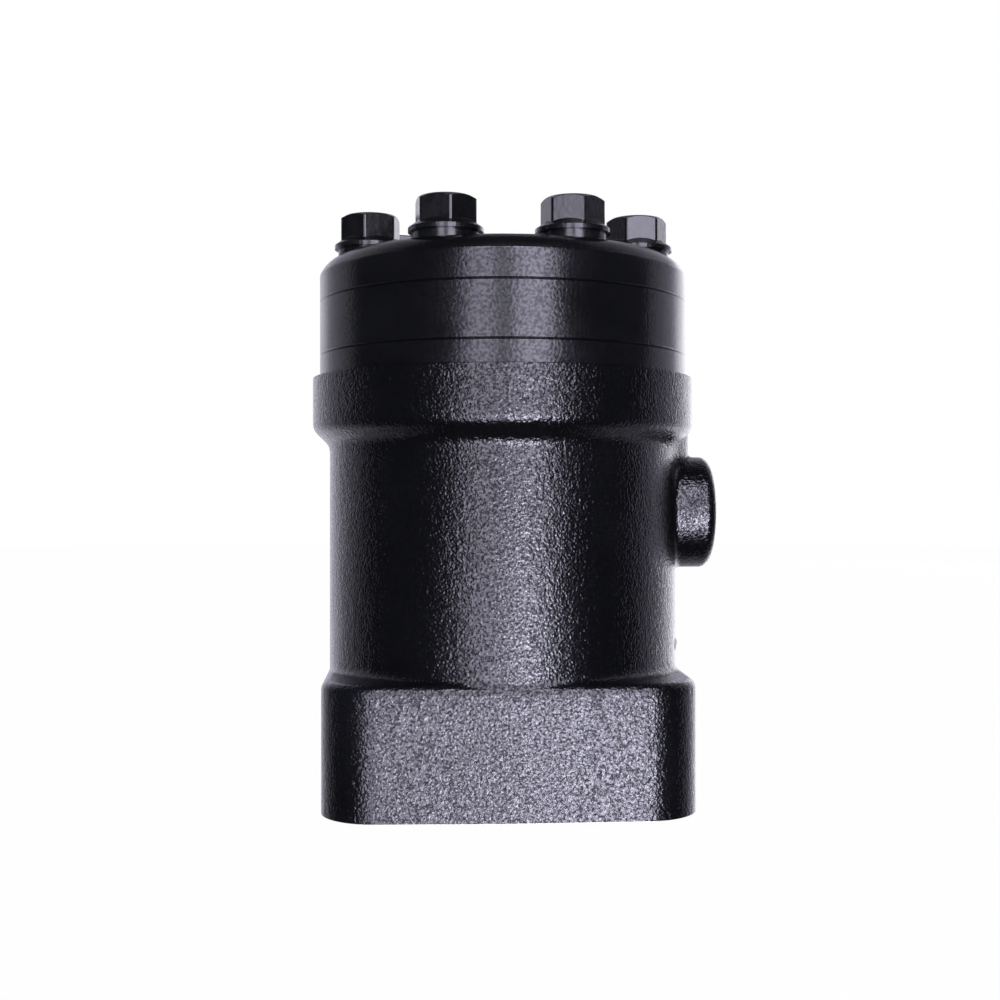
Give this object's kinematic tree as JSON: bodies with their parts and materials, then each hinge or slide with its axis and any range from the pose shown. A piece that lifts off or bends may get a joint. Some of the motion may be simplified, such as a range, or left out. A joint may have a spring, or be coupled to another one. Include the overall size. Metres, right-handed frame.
{
  "type": "orbital steering unit",
  "caption": "Hydraulic steering unit: cast housing with square flange, rotary spool-and-sleeve valve, orbiting gerotor meter under a screwed cover, four main ports and a side port.",
  "frame": {"origin": "centre of the column bolt circle on the mounting face", "axes": "+Z along the main axis to the end cover, +Y to the four main ports, +X to the side port boss"},
  "size_m": [0.098, 0.0937, 0.1389],
  "materials": {
    "painted_casting": "semi-gloss black paint over a sand casting",
    "painted_steel": "semi-gloss black paint over turned steel",
    "painted_screws": "gloss black paint",
    "painted_washers": "gloss black paint",
    "seal_rubber": "matt",
    "ptfe": "bronze-filled PTFE, matt",
    "spring_steel": "blued spring steel",
    "ground_steel": "ground",
    "cage_steel": "pressed sheet",
    "sintered_steel": "lapped, oiled"
  },
  "bodies": {
    "housing": {"housing": "painted_casting", "distributor_plate": "painted_steel", "gerotor_ring": "painted_steel", "end_cover": "painted_steel", "housing_oring": "seal_rubber", "ring_lower_oring": "seal_rubber", "ring_upper_oring": "seal_rubber", "cover_screws": "painted_screws", "check_valve_screw": "painted_screws", "screw_washers": "painted_washers", "roll_pin": "spring_steel", "bearing_outer_race": "ground_steel", "slide_ring": "ptfe", "shaft_oring": "seal_rubber", "dust_seal": "seal_rubber"},
    "sleeve": {"sleeve": "ground_steel", "cross_pin": "ground_steel", "retaining_ring": "ground_steel", "bearing_inner_race": "ground_steel", "flat_springs": "spring_steel", "curved_springs": "spring_steel"},
    "spool": {"spool": "ground_steel"},
    "orbit": {"drive_spacer": "ground_steel"},
    "rotor": {"gerotor_rotor": "sintered_steel"},
    "cardan": {"cardan_shaft": "sintered_steel"},
    "needle_cage": {"bearing_cage": "cage_steel", "bearing_needles": "ground_steel"},
    "check_ball": {"check_ball": "ground_steel"}
  },
  "joints": [
    {"name": "sleeve_spin", "type": "hinge", "parent": "housing", "child": "sleeve", "pos_m": [0, 0, 0.042], "axis": [0, 0, 1], "continuous": true},
    {"name": "spool_offset", "type": "hinge", "parent": "sleeve", "child": "spool", "pos_m": [0, 0, 0.042], "axis": [0, 0, 1], "range_deg": [-8, 8], "stiffness_Nm_per_rad": 1, "deforming": ["flat_springs", "curved_springs"]},
    {"name": "orbit", "type": "hinge", "parent": "housing", "child": "orbit", "pos_m": [0, 0, 0.1055], "axis": [0, 0, 1], "continuous": true},
    {"name": "rotor_spin", "type": "hinge", "parent": "orbit", "child": "rotor", "pos_m": [0, 0.0034, 0.112], "axis": [0, 0, 1], "continuous": true},
    {"name": "cardan_spin", "type": "hinge", "parent": "orbit", "child": "cardan", "pos_m": [0, 0, 0.042], "axis": [0, 0.0494, 0.9988], "continuous": true},
    {"name": "needle_cage_spin", "type": "hinge", "parent": "housing", "child": "needle_cage", "pos_m": [0, 0, 0.0182], "axis": [0, 0, 1], "continuous": true},
    {"name": "check_ball_lift", "type": "slide", "parent": "housing", "child": "check_ball", "axis": [0, 0, 1], "range_m": [0, 0.0016]}
  ],
  "couplings": [
    {"joint": "orbit", "follows": "sleeve_spin", "ratio": -6},
    {"joint": "rotor_spin", "follows": "sleeve_spin", "ratio": 7},
    {"joint": "cardan_spin", "follows": "sleeve_spin", "ratio": 7},
    {"joint": "needle_cage_spin", "follows": "sleeve_spin", "ratio": 0.5}
  ]
}
